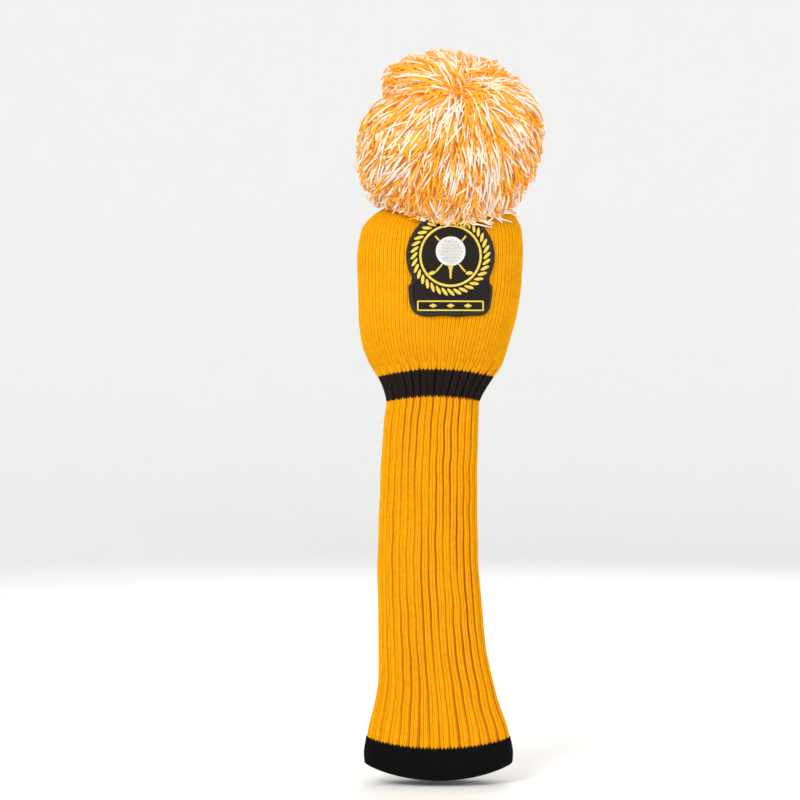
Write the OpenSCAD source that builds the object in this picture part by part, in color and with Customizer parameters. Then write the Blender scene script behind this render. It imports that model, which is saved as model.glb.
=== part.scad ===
// Knitted driver head cover: a plump head pocket, a drawn-in neck band, a long ribbed sleeve with a
// turned hem, a sewn patch on the front of the head, and a yarn pompom tied through the crown.
// Millimetres. +Z runs up the club's shaft axis, -Y is the front. The origin is the middle of the mouth,
// level with the lowest part of the hem.

/* [Head pocket] */
// Width of the head pocket at its widest
head_w = 117; // [105:1:130]
// Depth of the head pocket, front to back
head_d = 61; // [54:1:76]
// Height of the crown gather above the hem
crown_z = 407; // [380:1:430]

/* [Neck and sleeve] */
// Width of the sleeve just under the neck band
neck_w = 65; // [58:0.5:72]
// Depth of the sleeve and the neck, which lie flattened
neck_d = 24; // [20:0.5:30]
// Height of the neck band's lower edge, at the middle of the front
neck_z = 266; // [250:1:280]
// Height of the neck band
band_h = 17; // [12:0.5:20]
// How far the sleeve sways to the left of the mouth
sway = 7.5; // [0:0.1:9]

/* [Hem] */
// Width of the flared hem
hem_w = 104; // [96:1:112]
// Depth of the open mouth, outside
hem_d = 37; // [30:0.5:44]
// Height of the turned hem
hem_h = 22; // [16:0.5:26]
// How much higher the hem's sides stand than its middle
hem_lift = 9.5; // [4:0.5:12]

/* [Knit] */
// Thickness of the head's stocking stitch
head_wall = 3.2; // [2.6:0.1:4]
// Thickness of the ribbed sleeve
rib_wall = 3.4; // [2.8:0.1:4]
// Ribs around the sleeve
ribs = 32; // [24:2:32]
// How far a rib stands out of its valley
rib_relief = 1.4; // [0.6:0.1:1.6]
// Thickness of the lining
lining_wall = 1.6; // [1:0.1:2]

/* [Pompom] */
// Width of the pompom
pom_w = 131; // [116:1:136]
// Height of the pompom's middle above the crown gather
pom_rise = 40; // [38:1:44]
// How far the pompom leans to the front
pom_lean = 6; // [0:0.5:8]
// Diameter of the tie that holds the pompom on
tie_d = 3.2; // [2.4:0.2:4]

/* [Patch] */
// Diameter of the patch's round part
patch_d = 60; // [52:1:62]
// Height of the middle of the round part
patch_z = 363; // [356:1:366]
// How far the patch sits to the right
patch_x = 7.8; // [0:0.2:9]
// Thickness of the patch's twill
twill = 1.4; // [1:0.1:1.8]

/* [Hidden] */

ORANGE = "#F7A01B";
BLACK = "#221E20";
GOLD = "#E3C33C";
WHITE = "#EDEBE8";

SQUARENESS = 2.25; // 2 is an ellipse, and more is boxier
SIDES = 2 * ribs; // a point on each rib and one in each valley
BAND_TOP = neck_z + band_h;
HEAD_RISE = crown_z - BAND_TOP;
HOLE_R = 5.5; // of the gathered hole at the crown
CROWN_X = 5;

// The knit tube from hem to crown: height at the middle of the front, half width, half depth, middle
// in x, and how much higher the sides lie than the front.
KNIT = concat(
  [
    [0, 0.99 * hem_w / 2, 0.95 * hem_d / 2, 0, hem_lift],
    [hem_h / 2, hem_w / 2, hem_d / 2, 0, 0.8 * hem_lift],
    [hem_h, 0.97 * hem_w / 2, 0.97 * hem_d / 2, 0, 0.58 * hem_lift]
  ],
  [
    // up the sleeve, from neck width to hem width, of the sway, of the lift
    for (s = [[0.048, 0.82, 0.04, 0.44], [0.113, 0.577, 0.16, 0.31], [0.186, 0.397, 0.27, 0.16],
              [0.275, 0.275, 0.58, 0.07], [0.525, 0.15, 1, 0], [0.79, 0.077, 0.9, 0], [0.93, 0.056, 0.68, 0]])
      [
        hem_h + s[0] * (neck_z - hem_h), lerp(neck_w, hem_w, s[1]) / 2,
        lerp(neck_d, hem_d, 0.9 * s[1]) / 2, -sway * s[2], hem_lift * s[3]
      ]
  ],
  [
    [neck_z, neck_w / 2, neck_d / 2, -0.49 * sway, -3.5],
    [BAND_TOP, neck_w / 2 + 6.8, neck_d / 2 + 4, -2, -5.5]
  ],
  [
    // up the head, of its width, of its depth, middle in x, lift
    for (s = [[0.08, 0.795, 0.62, -2, -5], [0.177, 0.88, 0.77, -2, -3.5], [0.3, 0.94, 0.91, -1, -2],
              [0.5, 0.985, 1, 0.8, -0.5], [0.685, 0.995, 1, 1.6, 0], [0.815, 0.966, 0.925, 1.8, 0],
              [0.905, 0.82, 0.76, 3.5, 0], [0.96, 0.58, 0.53, 4.5, 0], [0.992, 0.3, 0.3, CROWN_X, 0]])
      [BAND_TOP + s[0] * HEAD_RISE, s[1] * head_w / 2, s[2] * head_d / 2, s[3], s[4]]
  ],
  [[crown_z, HOLE_R, HOLE_R, CROWN_X, 0]]
);
// Places on the tube, as positions in KNIT
HEM_FOLD = 0;
HEM_EDGE = 2;
BAND_LOW = 10;
BAND_HIGH = 11;
CROWN = len(KNIT) - 1;

PIVOT = [CROWN_X, 0, crown_z - 1.6]; // where the pompom's tie rocks in the crown gather
POM = PIVOT + [3, -pom_lean, pom_rise + 1.6]; // middle of the pompom
TIE_LEN = norm(POM - PIVOT);
POM_TOP = 62; // the pompom's top, above its middle
SEAT_GAP = 5.5; // from the pivot up to the pompom's flat underside, so that it can rock
WAIST_R = 6; // of the binding round the pompom's waist
BINDING_R = 1.4;
GATHER_R = 1.1; // of the gather yarn

function lerp(a, b, f) = a + (b - a) * f;

function spline(p, q, r, s, f) =
  (2 * q + (r - p) * f + (2 * p - 5 * q + 4 * r - s) * f * f + (3 * q - p - 3 * r + s) * f * f * f) / 2;

// The tube's measures at position t along it
function along(t) =
  let (i = max(0, min(floor(t), CROWN - 1)))
  spline(KNIT[max(i - 1, 0)], KNIT[i], KNIT[i + 1], KNIT[min(i + 2, CROWN)], t - i);

function signed_power(x, p) = sign(x) * pow(abs(x), p);

function oval(a, b, angle) =
  [a * signed_power(cos(angle), 2 / SQUARENESS), b * signed_power(sin(angle), 2 / SQUARENESS)];

// [length, angle] pairs around an oval, for spacing points evenly along it
function oval_lengths(a, b, n = 120) =
  [
    for (i = 0, run = 0; i <= n; run = run + norm(oval(a, b, 360 * (i + 1) / n) - oval(a, b, 360 * i / n)), i = i + 1)
      [run, 360 * i / n]
  ];

function even_oval(a, b, n) =
  let (table = oval_lengths(a, b), whole = table[len(table) - 1][0])
  [for (k = [0:n - 1]) oval(a, b, lookup(whole * k / n, table))];

// The rib's height at point k of a ring: full on the sleeve and the band, none on the hem or the head
function relief(t, k) =
  let (fade = min(1, max(0, (t - HEM_EDGE) * 2)) * min(1, max(0, BAND_HIGH + 0.5 - t)))
  (k % 2 == 0 ? 0 : -rib_relief) * fade;

// A ring of points round the tube at t, moved in by inset along the wall's own normal
function ring(t, inset, ribbed = false) =
  let (
    s = along(t),
    d = along(min(t + 0.05, CROWN)) - along(max(t - 0.05, 0)),
    na = d[0] / norm([d[0], d[1]]),
    nb = d[0] / norm([d[0], d[2]]),
    sink = inset * (d[1] / norm([d[0], d[1]]) + d[2] / norm([d[0], d[2]])) / 2,
    a = s[1] - inset * na,
    b = s[2] - inset * nb,
    base = even_oval(a, b, SIDES)
  )
  [
    for (k = [0:SIDES - 1])
      let (p = base[k], r = ribbed ? relief(t, k) : 0, q = p * (1 + r / norm(p)))
      [s[3] + q[0], q[1], s[0] + sink + s[4] * pow(p[0] / a, 2)]
  ];

function up_from(t, steps) = [for (s = steps) t + s];

function flat(lists) = [for (l = lists) for (x = l) x];

function flipped(faces) = [for (f = faces) [f[2], f[1], f[0]]];

// Triangles between ring i and ring j of a point list
function band_faces(i, j, n = SIDES) =
  [
    for (k = [0:n - 1])
      let (l = (k + 1) % n)
      each [[i * n + k, j * n + k, i * n + l], [i * n + l, j * n + k, j * n + l]]
  ];

// A knit tube, open at both ends: ts are the positions of its rings
module shell(ts, outer_inset, inner_inset, ribbed = false) {
  rows = len(ts);
  points = flat(concat(
    [for (t = ts) ring(t, outer_inset, ribbed)],
    [for (t = ts) ring(t, inner_inset)]
  ));
  faces = concat(
    flat([for (i = [0:rows - 2]) band_faces(i, i + 1)]),
    flat([for (i = [0:rows - 2]) flipped(band_faces(rows + i, rows + i + 1))]),
    flipped(band_faces(0, rows)),
    band_faces(rows - 1, 2 * rows - 1)
  );
  polyhedron(points, faces);
}

// A cord that runs round the tube at t
module ring_cord(t, inset, r, sides = 6) {
  path = ring(t, inset);
  middle = along(t)[3];
  points = [
    for (c = [0:sides - 1]) for (p = path)
      let (out = [p[0] - middle, p[1], 0])
      p + r * (cos(360 * c / sides) * out / norm(out) + [0, 0, sin(360 * c / sides)])
  ];
  polyhedron(points, flat([for (c = [0:sides - 1]) band_faces(c, (c + 1) % sides)]));
}

// ---- the patch lies on the front of the head ----
T_OF_Z = [for (t = [BAND_HIGH:0.25:CROWN]) [along(t)[0], t]];

// y of the head's front at (x, z), off millimetres proud of it
function front(x, z, off) =
  let (
    rough = along(lookup(z, T_OF_Z)),
    u = min(0.95, abs(x - rough[3]) / rough[1]),
    s = along(lookup(z - rough[4] * u * u, T_OF_Z))
  )
  -s[2] * pow(1 - pow(u, SQUARENESS), 1 / SQUARENESS) - off;

function draped(p, off) = [patch_x + p[0], front(patch_x + p[0], patch_z + p[1], off), patch_z + p[1]];

// A flat piece draped on the front: outline points around the patch's middle, scaled in from its rim
module draped_disc(outline, lo, hi, middle = [0, 0], loops = 2) {
  n = len(outline);
  scales = [for (i = [loops:-1:1]) i / loops];
  points = concat(
    flat([for (off = [hi, lo]) flat([for (f = scales) [for (p = outline) draped(lerp(middle, p, f), off)]])]),
    [draped(middle, hi), draped(middle, lo)]
  );
  top = 2 * loops * n;
  faces = concat(
    flat([for (i = [0:1:loops - 2]) band_faces(i, i + 1, n)]),
    flat([for (i = [0:1:loops - 2]) flipped(band_faces(loops + i, loops + i + 1, n))]),
    band_faces(loops, 0, n),
    [for (k = [0:n - 1]) [(loops - 1) * n + k, top, (loops - 1) * n + (k + 1) % n]],
    [for (k = [0:n - 1]) [(2 * loops - 1) * n + (k + 1) % n, top + 1, (2 * loops - 1) * n + k]]
  );
  polyhedron(points, flipped(faces));
}

// An embroidered line draped on the front: path points, and the half width at each
module draped_line(path, half, lo, hi, closed = false) {
  n = len(path);
  points = flat([
    for (i = [0:n - 1])
      let (
        a = path[closed ? (i + n - 1) % n : max(i - 1, 0)],
        b = path[closed ? (i + 1) % n : min(i + 1, n - 1)],
        side = half[i % len(half)] * [a[1] - b[1], b[0] - a[0]] / norm(b - a)
      )
      [draped(path[i] + side, hi), draped(path[i] - side, hi), draped(path[i] - side, lo), draped(path[i] + side, lo)]
  ]);
  walls = flat([for (i = [0:closed ? n - 1 : n - 2]) band_faces(i, (i + 1) % n, 4)]);
  e = 4 * (n - 1);
  ends = closed ? [] : [[0, 1, 2], [0, 2, 3], [e, e + 2, e + 1], [e, e + 3, e + 2]];
  polyhedron(points, concat(walls, ends));
}

function polar(r, angle) = r * [cos(angle), sin(angle)];

BAR_W = patch_d * 0.475; // half width of the bar under the patch's round part
BAR_DROP = patch_d * 0.685; // from the round part's middle to the bar's lower edge
BAR_TOP = patch_d * 0.33;
BAR_Z = -patch_d * 0.572; // of the outlined bar's middle

// The patch's outline: a disc with a round-cornered bar across its foot
function patch_edge(angle, shrink = 0) =
  let (
    bar = pow(pow(abs(cos(angle)) / BAR_W, 7) + pow(abs(sin(angle)) / BAR_DROP, 7), -1 / 7),
    low = bar * sin(angle) < -BAR_TOP
  )
  (low ? max(bar, patch_d / 2) : patch_d / 2) - shrink;

PATCH_OUTLINE = [for (k = [0:63]) polar(patch_edge(k * 360 / 64), k * 360 / 64)];
BACK_LO = 0.3;
BACK_HI = BACK_LO + 0.3;
TWILL_LO = BACK_HI + 0.15;
TWILL_HI = TWILL_LO + twill;
THREAD_LO = TWILL_HI + 0.1;
THREAD_HI = THREAD_LO + 0.7;
RING_R = patch_d * 0.345;
ROPE_R = patch_d * 0.42;
ROPE_STRANDS = 36;
BALL_R = patch_d * 0.16;
BALL_AT = [0, patch_d * 0.05];

// A lens-shaped satin stitch from p to q
module satin(p, q, w) {
  shape = [0.12, 0.75, 1, 0.75, 0.12];
  draped_line([for (i = [0:4]) lerp(p, q, i / 4)], [for (f = shape) f * w / 2], THREAD_LO, THREAD_HI);
}

// ---- the knit body ----
module head_knit() {
  color(ORANGE) shell(up_from(BAND_HIGH, [0, 0.5, 1, 2, 3, 4, 5, 6, 6.5, 7, 7.5, 8, 9, 10]), 0, head_wall, true);
}

// The lining is a sack with a closed top, drawn away from the crown to leave room for the knot
module head_lining() {
  ts = up_from(BAND_HIGH, [0.6, 1.5, 3, 4.5, 5.5, 6.4, 7.2, 8, 8.8]);
  rows = len(ts);
  function room(t) = head_wall + 0.4 + 13 * pow(max(0, (t - BAND_HIGH - 5) / 4), 1.5);
  outer = [for (t = ts) ring(t, room(t))];
  inner = [for (t = ts) ring(t, room(t) + lining_wall)];
  cap = [for (r = [outer, inner]) [CROWN_X, 0, r[rows - 1][0][2] + 0.4]];
  tip = 2 * rows * SIDES;
  fan = [for (k = [0:SIDES - 1]) [(rows - 1) * SIDES + k, tip, (rows - 1) * SIDES + (k + 1) % SIDES]];
  inner_fan = [
    for (k = [0:SIDES - 1])
      [(2 * rows - 1) * SIDES + (k + 1) % SIDES, tip + 1, (2 * rows - 1) * SIDES + k]
  ];
  color("#D8D4CC")
    polyhedron(
      concat(flat(outer), flat(inner), cap),
      concat(
        flat([for (i = [0:rows - 2]) band_faces(i, i + 1)]),
        flat([for (i = [0:rows - 2]) flipped(band_faces(rows + i, rows + i + 1))]),
        flipped(band_faces(0, rows)), fan, inner_fan
      )
    );
}

// Thread that holds the lining's lower edge to the knit, just under that edge
module lining_seam() {
  color("#D8D4CC") ring_cord(BAND_HIGH + 0.45, head_wall + 1.3, 0.6, 5);
}

module neck_band() {
  color(BLACK) shell([BAND_LOW, BAND_LOW + 0.5, BAND_HIGH], 0, rib_wall, true);
}

// Elastic cord laid inside the neck band, in its upper half
module neck_elastic() {
  color("#F2F0EA") ring_cord(BAND_LOW + 0.7, rib_wall + 1.2, 0.9);
}

module sleeve_rib() {
  color(ORANGE) shell(up_from(HEM_EDGE, [0, 0.5, 1, 1.5, 2, 2.5, 3, 4, 5, 6, 7, 7.99]), 0, rib_wall, true);
}

module hem_cuff() {
  color(BLACK) shell([HEM_FOLD, 0.35, 1, HEM_EDGE], 0, rib_wall + 0.8);
}

// Chain stitch that holds the hem's turned edge inside the sleeve
module hem_seam() {
  color(BLACK) ring_cord(HEM_EDGE + 0.12, rib_wall + 0.75, 0.6, 5);
}

// ---- the pompom and its tie ----
// Moves a child from +Z at the origin onto the line from the crown gather to the pompom's middle
module on_tie(rise = 0) {
  line = POM - PIVOT;
  translate(PIVOT)
    rotate([0, acos(line[2] / TIE_LEN), atan2(line[1], line[0])])
      translate([0, 0, rise]) children();
}

module gather_yarn() {
  color(ORANGE)
    translate(PIVOT)
      rotate_extrude($fn = 48) translate([HOLE_R - GATHER_R - 0.6, 0]) circle(GATHER_R, $fn = 24);
}

module pom_tie() {
  low_end = -4.6;
  color(WHITE)
    on_tie(low_end) cylinder(d = tie_d, h = TIE_LEN - WAIST_R - BINDING_R - 0.1 - low_end, $fn = 32);
}

// The knot under the crown: a ball, cut flat a little below the tie's end
module pom_tie_knot() {
  knot_r = 4;
  flat_top = -5.1;
  color(WHITE)
    on_tie(flat_top - 0.8 * knot_r)
      intersection() {
        sphere(knot_r, $fn = 32);
        translate([0, 0, -0.2 * knot_r]) cube(2 * knot_r, center = true);
      }
}

// The cord bound round the pompom's waist
module pom_binding() {
  color(WHITE)
    translate(POM)
      rotate([0, 90, 0])
        rotate_extrude($fn = 48) translate([WAIST_R, 0]) circle(BINDING_R, $fn = 24);
}

// The ball of cut yarn: round in plan, and flat underneath where it sits over the crown
module pom_yarn() {
  low = asin((PIVOT[2] + SEAT_GAP - POM[2]) / POM_TOP);
  arc = [for (i = [0:14]) lerp(low, 84, i / 14)];
  outline = concat(
    [[0, POM_TOP * sin(low)]],
    [for (a = arc) [pom_w / 2 * cos(a), POM_TOP * sin(a)]],
    [[0, POM_TOP]]
  );
  color("#F3BE62")
    difference() {
      translate(POM) rotate_extrude($fn = 64) polygon(outline);
      // the tie's channel, turned so that none of its corners lies on a corner of the flat underside
      on_tie() rotate(50) cylinder(r = tie_d / 2 + 0.6, h = TIE_LEN - WAIST_R, $fn = 32);
      translate(POM)
        rotate([0, 90, 0])
          cylinder(r = WAIST_R + BINDING_R + 0.2, h = 2 * BINDING_R + 0.4, center = true, $fn = 48);
    }
}

// ---- the sewn patch ----
module patch_backing() {
  color("#3A3638") draped_disc([for (p = PATCH_OUTLINE) p * 0.985], BACK_LO, BACK_HI, [0, 0], 4);
}

module patch_twill() {
  color(BLACK) draped_disc(PATCH_OUTLINE, TWILL_LO, TWILL_HI, [0, 0], 4);
}

// Running stitches that sew the patch down, set just inside its edge
module patch_thread() {
  stitches = 60;
  color("#3A3638")
    for (k = [0:stitches - 1]) {
      a = (k + 0.5) * 360 / stitches;
      p = polar(patch_edge(a, 1.6), a);
      q = polar(patch_edge(a + 2, 1.6), a + 2);
      heading = atan2(q[1] - p[1], q[0] - p[0]);
      translate(draped(p, THREAD_LO + 0.05))
        rotate([0, -heading, 0])
          translate([-1, -0.45, -0.3]) cube([2, 0.45, 0.6]);
    }
}

module patch_ring() {
  color(GOLD)
    draped_line([for (k = [0:47]) polar(RING_R, k * 7.5)], [0.75], THREAD_LO, THREAD_HI, true);
}

// A twisted rope round the ring: slanting stitches, evenly spaced
module patch_rope() {
  color(GOLD)
    for (k = [0:ROPE_STRANDS - 1]) {
      a = k * 360 / ROPE_STRANDS;
      satin(polar(ROPE_R - 2.3, a - 5), polar(ROPE_R + 2.3, a + 5), 2.5);
    }
}

module patch_ball() {
  color(WHITE)
    draped_disc([for (k = [0:31]) BALL_AT + polar(BALL_R, k * 11.25)], THREAD_LO, THREAD_HI + 0.3, BALL_AT);
}

module patch_tee() {
  top = BALL_AT - [0, BALL_R + 0.6];
  color(GOLD)
    draped_line(
      [for (f = [0, 0.18, 0.4, 0.7, 1]) top - [0, 9 * f]], [2.2, 1.2, 0.9, 0.75, 0.3], THREAD_LO, THREAD_HI
    );
}

// Two crossed clubs whose shafts pass behind the ball, each in an upper and a lower length with a head
module patch_clubs() {
  color(GOLD)
    for (side = [-1, 1]) {
      grip = [side * 10.5, 13.5];
      heel = [-side * 10, -11];
      line = (heel - grip) / norm(heel - grip);
      along_ball = (BALL_AT - grip) * line;
      off_line = norm(BALL_AT - grip - line * along_ball);
      clear = sqrt(pow(BALL_R + 0.6, 2) - pow(off_line, 2));
      for (ends = [[grip, grip + line * (along_ball - clear)], [grip + line * (along_ball + clear), heel]])
        draped_line([for (i = [0:3]) lerp(ends[0], ends[1], i / 3)], [0.55], THREAD_LO, THREAD_HI);
      satin(heel - [side * 0.4, 0.7], heel - [side * 5, 1.2], 3);
    }
}

// A plain outlined bar on the patch's foot
module patch_bar() {
  w = BAR_W - 6;
  h = 3.1;
  corners = [[-w, BAR_Z - h], [w, BAR_Z - h], [w, BAR_Z + h], [-w, BAR_Z + h]];
  path = flat([for (i = [0:3]) [for (f = [0:0.1:0.9]) lerp(corners[i], corners[(i + 1) % 4], f)]]);
  color(GOLD) draped_line(path, [0.4], THREAD_LO, THREAD_HI, true);
}

module patch_diamonds() {
  color(GOLD)
    for (x = [-12, 0, 12])
      draped_disc(
        [for (a = [0:90:270]) [x + 2.6 * cos(a), BAR_Z + 1.6 * sin(a)]], THREAD_LO, THREAD_HI, [x, BAR_Z], 1
      );
}

head_knit();
head_lining();
lining_seam();
neck_band();
neck_elastic();
sleeve_rib();
hem_cuff();
hem_seam();
gather_yarn();
pom_tie();
pom_tie_knot();
pom_binding();
pom_yarn();
patch_backing();
patch_twill();
patch_thread();
patch_ring();
patch_rope();
patch_ball();
patch_tee();
patch_clubs();
patch_bar();
patch_diamonds();
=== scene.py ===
import math

import bmesh
import bpy
import numpy as np
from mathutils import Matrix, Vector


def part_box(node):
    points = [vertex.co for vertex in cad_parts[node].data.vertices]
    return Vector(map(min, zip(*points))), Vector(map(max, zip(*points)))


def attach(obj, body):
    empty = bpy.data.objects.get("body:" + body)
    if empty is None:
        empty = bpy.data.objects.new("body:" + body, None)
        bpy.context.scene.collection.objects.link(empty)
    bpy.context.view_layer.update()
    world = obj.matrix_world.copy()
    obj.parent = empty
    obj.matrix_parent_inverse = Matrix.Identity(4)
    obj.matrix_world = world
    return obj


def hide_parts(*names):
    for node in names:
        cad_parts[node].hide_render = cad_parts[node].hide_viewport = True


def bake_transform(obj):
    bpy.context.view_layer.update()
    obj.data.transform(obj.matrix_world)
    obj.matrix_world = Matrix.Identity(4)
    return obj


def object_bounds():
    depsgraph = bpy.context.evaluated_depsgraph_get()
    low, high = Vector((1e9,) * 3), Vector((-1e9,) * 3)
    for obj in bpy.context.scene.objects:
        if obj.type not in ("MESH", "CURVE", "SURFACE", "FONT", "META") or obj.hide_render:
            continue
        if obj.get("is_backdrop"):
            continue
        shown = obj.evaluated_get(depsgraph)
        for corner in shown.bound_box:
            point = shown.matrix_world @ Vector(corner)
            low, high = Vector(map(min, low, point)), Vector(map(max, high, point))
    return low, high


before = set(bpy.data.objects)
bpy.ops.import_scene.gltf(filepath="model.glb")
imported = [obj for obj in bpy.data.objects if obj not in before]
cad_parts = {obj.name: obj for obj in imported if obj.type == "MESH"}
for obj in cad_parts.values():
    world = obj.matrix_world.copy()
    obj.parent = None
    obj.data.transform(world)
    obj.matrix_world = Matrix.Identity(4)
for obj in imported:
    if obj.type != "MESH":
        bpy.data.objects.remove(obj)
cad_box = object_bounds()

MM = 0.001
FIBRE_SCALE = 3200.0  # of the noise that stands for a yarn's fibres


# ---------------------------- meshes and materials
def make_mesh(name, points, faces, **attributes):
    """A smooth mesh object. Each attribute is one float per point."""
    mesh = bpy.data.meshes.new(name)
    faces = np.asarray(faces, np.int32)
    sides = faces.shape[1]
    mesh.vertices.add(len(points))
    mesh.vertices.foreach_set("co", np.asarray(points, np.float32).ravel())
    mesh.loops.add(faces.size)
    mesh.loops.foreach_set("vertex_index", faces.ravel())
    mesh.polygons.add(len(faces))
    mesh.polygons.foreach_set("loop_start", np.arange(0, faces.size, sides, dtype=np.int32))
    mesh.update(calc_edges=True)
    mesh.polygons.foreach_set("use_smooth", np.ones(len(faces), bool))
    for key, values in attributes.items():
        layer = mesh.attributes.new(key, "FLOAT", "POINT")
        layer.data.foreach_set("value", np.asarray(values, np.float32).ravel())
    piece = bpy.data.objects.new(name, mesh)
    bpy.context.scene.collection.objects.link(piece)
    return piece


def grid_faces(rows, columns, wrap_rows=False):
    """Quads of a grid of points whose columns close on themselves."""
    i = np.arange(rows if wrap_rows else rows - 1)[:, None]
    j = np.arange(columns)[None, :]
    up, right = (i + 1) % rows, (j + 1) % columns
    here = i * columns + j
    return np.stack([here, i * columns + right, up * columns + right, up * columns + j], -1).reshape(-1, 4)


def dress(piece, material):
    piece.data.materials.clear()
    piece.data.materials.append(material)


class Nodes:
    """Short calls for building one material."""

    def __init__(self, name):
        self.material = bpy.data.materials.new(name)
        self.material.use_nodes = True
        self.tree = self.material.node_tree
        self.shader = self.tree.nodes["Principled BSDF"]

    def add(self, kind, **settings):
        node = self.tree.nodes.new("ShaderNode" + kind)
        for key, value in settings.items():
            setattr(node, key, value)
        return node

    def link(self, start, end):
        self.tree.links.new(start, end)

    def attribute(self, name):
        return self.add("Attribute", attribute_name=name).outputs["Fac"]

    def place(self, scale=(1, 1, 1)):
        mapping = self.add("Mapping")
        mapping.inputs["Scale"].default_value = scale
        self.link(self.add("TexCoord").outputs["Object"], mapping.inputs["Vector"])
        return mapping.outputs["Vector"]

    def noise(self, scale, detail=3.0, stretch=(1, 1, 1)):
        node = self.add("TexNoise")
        node.inputs["Scale"].default_value = scale
        node.inputs["Detail"].default_value = detail
        self.link(self.place(stretch), node.inputs["Vector"])
        return node.outputs["Fac"]

    def ramp(self, factor, low, high, start=0.0, end=1.0):
        """A colour ramp from low to high."""
        node = self.add("ValToRGB")
        node.color_ramp.elements[0].position = start
        node.color_ramp.elements[1].position = end
        node.color_ramp.elements[0].color = (*low, 1)
        node.color_ramp.elements[1].color = (*high, 1)
        self.link(factor, node.inputs["Fac"])
        return node.outputs["Color"]

    def shade(self, body, factor, low, high, share=1.0, start=0.0, end=1.0):
        """The colour body, multiplied by a ramp from low to high. A single number is a grey."""
        low, high = ((v, v, v) if isinstance(v, float) else v for v in (low, high))
        node = self.add("Mix", data_type="RGBA", blend_type="MULTIPLY")
        node.inputs["Factor"].default_value = share
        self.link(body, node.inputs["A"])
        self.link(self.ramp(factor, low, high, start, end), node.inputs["B"])
        return node.outputs["Result"]

    def math(self, operation, a, b):
        node = self.add("Math", operation=operation)
        for socket, value in zip(node.inputs, (a, b)):
            if isinstance(value, (int, float)):
                socket.default_value = value
            else:
                self.link(value, socket)
        return node.outputs[0]

    def finish(self, colour, height, bump, distance, roughness, sheen, sheen_tint, specular=0.25):
        self.link(colour, self.shader.inputs["Base Color"])
        node = self.add("Bump")
        node.inputs["Strength"].default_value = bump
        node.inputs["Distance"].default_value = distance
        self.link(height, node.inputs["Height"])
        self.link(node.outputs["Normal"], self.shader.inputs["Normal"])
        values = {"Roughness": roughness, "Specular IOR Level": specular, "Sheen Weight": sheen}
        values |= {"Sheen Roughness": 0.45, "Sheen Tint": (*sheen_tint, 1)}
        for key, value in values.items():
            self.shader.inputs[key].default_value = value
        return self.material


def yarn_material(name, shaded, middle, light, sheen):
    """Spun yarn: painted shade, a darker colour, down between the stitches, the yarn's own colour on their
    crowns with a sheen tinted light, and fine fibres over both. Reads the attributes depth, 0 to 1, and tone,
    0 to 1, which the mesh gives each stitch or strand."""
    n = Nodes(name)
    # painted shade: the colour runs from the shaded colour where depth is low to the yarn's own colour on the
    # crowns
    body = n.ramp(n.attribute("depth"), shaded, middle, 0.05, 0.85)
    body = n.shade(body, n.attribute("tone"), (0.92, 0.91, 0.90), 1.05)
    fibres = n.noise(FIBRE_SCALE, 2.0, (1, 1, 0.35))
    body = n.shade(body, fibres, 0.86, 1.1, 0.8, 0.3, 0.7)
    body = n.shade(body, n.noise(35.0), (0.97, 0.96, 0.95), 1.02, 0.7, 0.3, 0.7)
    height = n.math("ADD", fibres, n.noise(FIBRE_SCALE * 0.4, 3.0))
    return n.finish(body, height, 0.5, 0.25 * MM, 0.9, sheen, light, 0.1)


def cloth_material(name, low, high, scale, bump, roughness, sheen=0.15, specular=0.3):
    """A plain close cloth or thread surface with fibre-scale grain."""
    n = Nodes(name)
    fine = n.noise(scale, 3.0)
    body = n.ramp(fine, low, high, 0.3, 0.7)
    body = n.shade(body, n.noise(scale * 0.02), 0.93, 1.05, 0.8, 0.35, 0.65)
    return n.finish(body, fine, bump, 0.2 * MM, roughness, sheen, high, specular)


# ---------------------------- camera, light and floor
LENS_MM = 100.0
SENSOR_MM = 36.0
VIEW_HEIGHT = 0.560  # the height of the world that the picture takes in
NEAR_CLIP, FAR_CLIP = 0.05, 20
ASIDE, ABOVE = -0.0349, 0.0095  # the picture's middle, from the object's: it stands a little right and low
middle = (cad_box[0] + cad_box[1]) / 2
AIM = (middle.x + ASIDE, middle.y, middle.z + ABOVE)

camera_data = bpy.data.cameras.new("camera")
camera_data.lens = LENS_MM
camera_data.sensor_width = SENSOR_MM
camera_data.clip_start = NEAR_CLIP
camera_data.clip_end = FAR_CLIP
camera = bpy.data.objects.new("camera", camera_data)
camera.location = (AIM[0], -VIEW_HEIGHT * LENS_MM / SENSOR_MM, AIM[2])
camera.rotation_euler = (math.radians(90), 0, 0)
bpy.context.scene.collection.objects.link(camera)
bpy.context.scene.camera = camera
bpy.context.scene.view_settings.view_transform = "Standard"


def stage():
    """A pale round floor that curves up into a backdrop all the way round."""
    floor_z, radius, reach, wall_top = -0.004, 0.5, 2.2, 3.2
    turn = [math.radians(a) for a in range(0, 91, 10)]
    sweep = [(0.0, 0.0)] + [(reach + radius * math.sin(a), radius * (1 - math.cos(a))) for a in turn]
    sweep.append((reach + radius, wall_top))
    around = np.radians(np.arange(0, 360, 7.5))
    points = [[(r * math.cos(a), r * math.sin(a), floor_z + z) for a in around] for r, z in sweep]
    floor = make_mesh("studio_floor", np.array(points).reshape(-1, 3), grid_faces(len(sweep), len(around)))
    n = Nodes("studio_paper")
    grain = n.noise(60.0)
    colour = n.ramp(grain, (0.93, 0.93, 0.925), (0.95, 0.95, 0.945))
    floor.data.materials.append(n.finish(colour, grain, 0.02, 0.5 * MM, 0.9, 0.0, (1, 1, 1), 0.1))
    floor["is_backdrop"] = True


def area_light(name, place, size, energy, colour=(1, 1, 1)):
    data = bpy.data.lights.new(name, "AREA")
    data.shape = "RECTANGLE"
    data.size, data.size_y = size
    data.energy = energy
    data.color = colour
    light = bpy.data.objects.new(name, data)
    light.location = place
    aim = middle - light.location
    light.rotation_euler = aim.to_track_quat("-Z", "Y").to_euler()
    bpy.context.scene.collection.objects.link(light)


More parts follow.
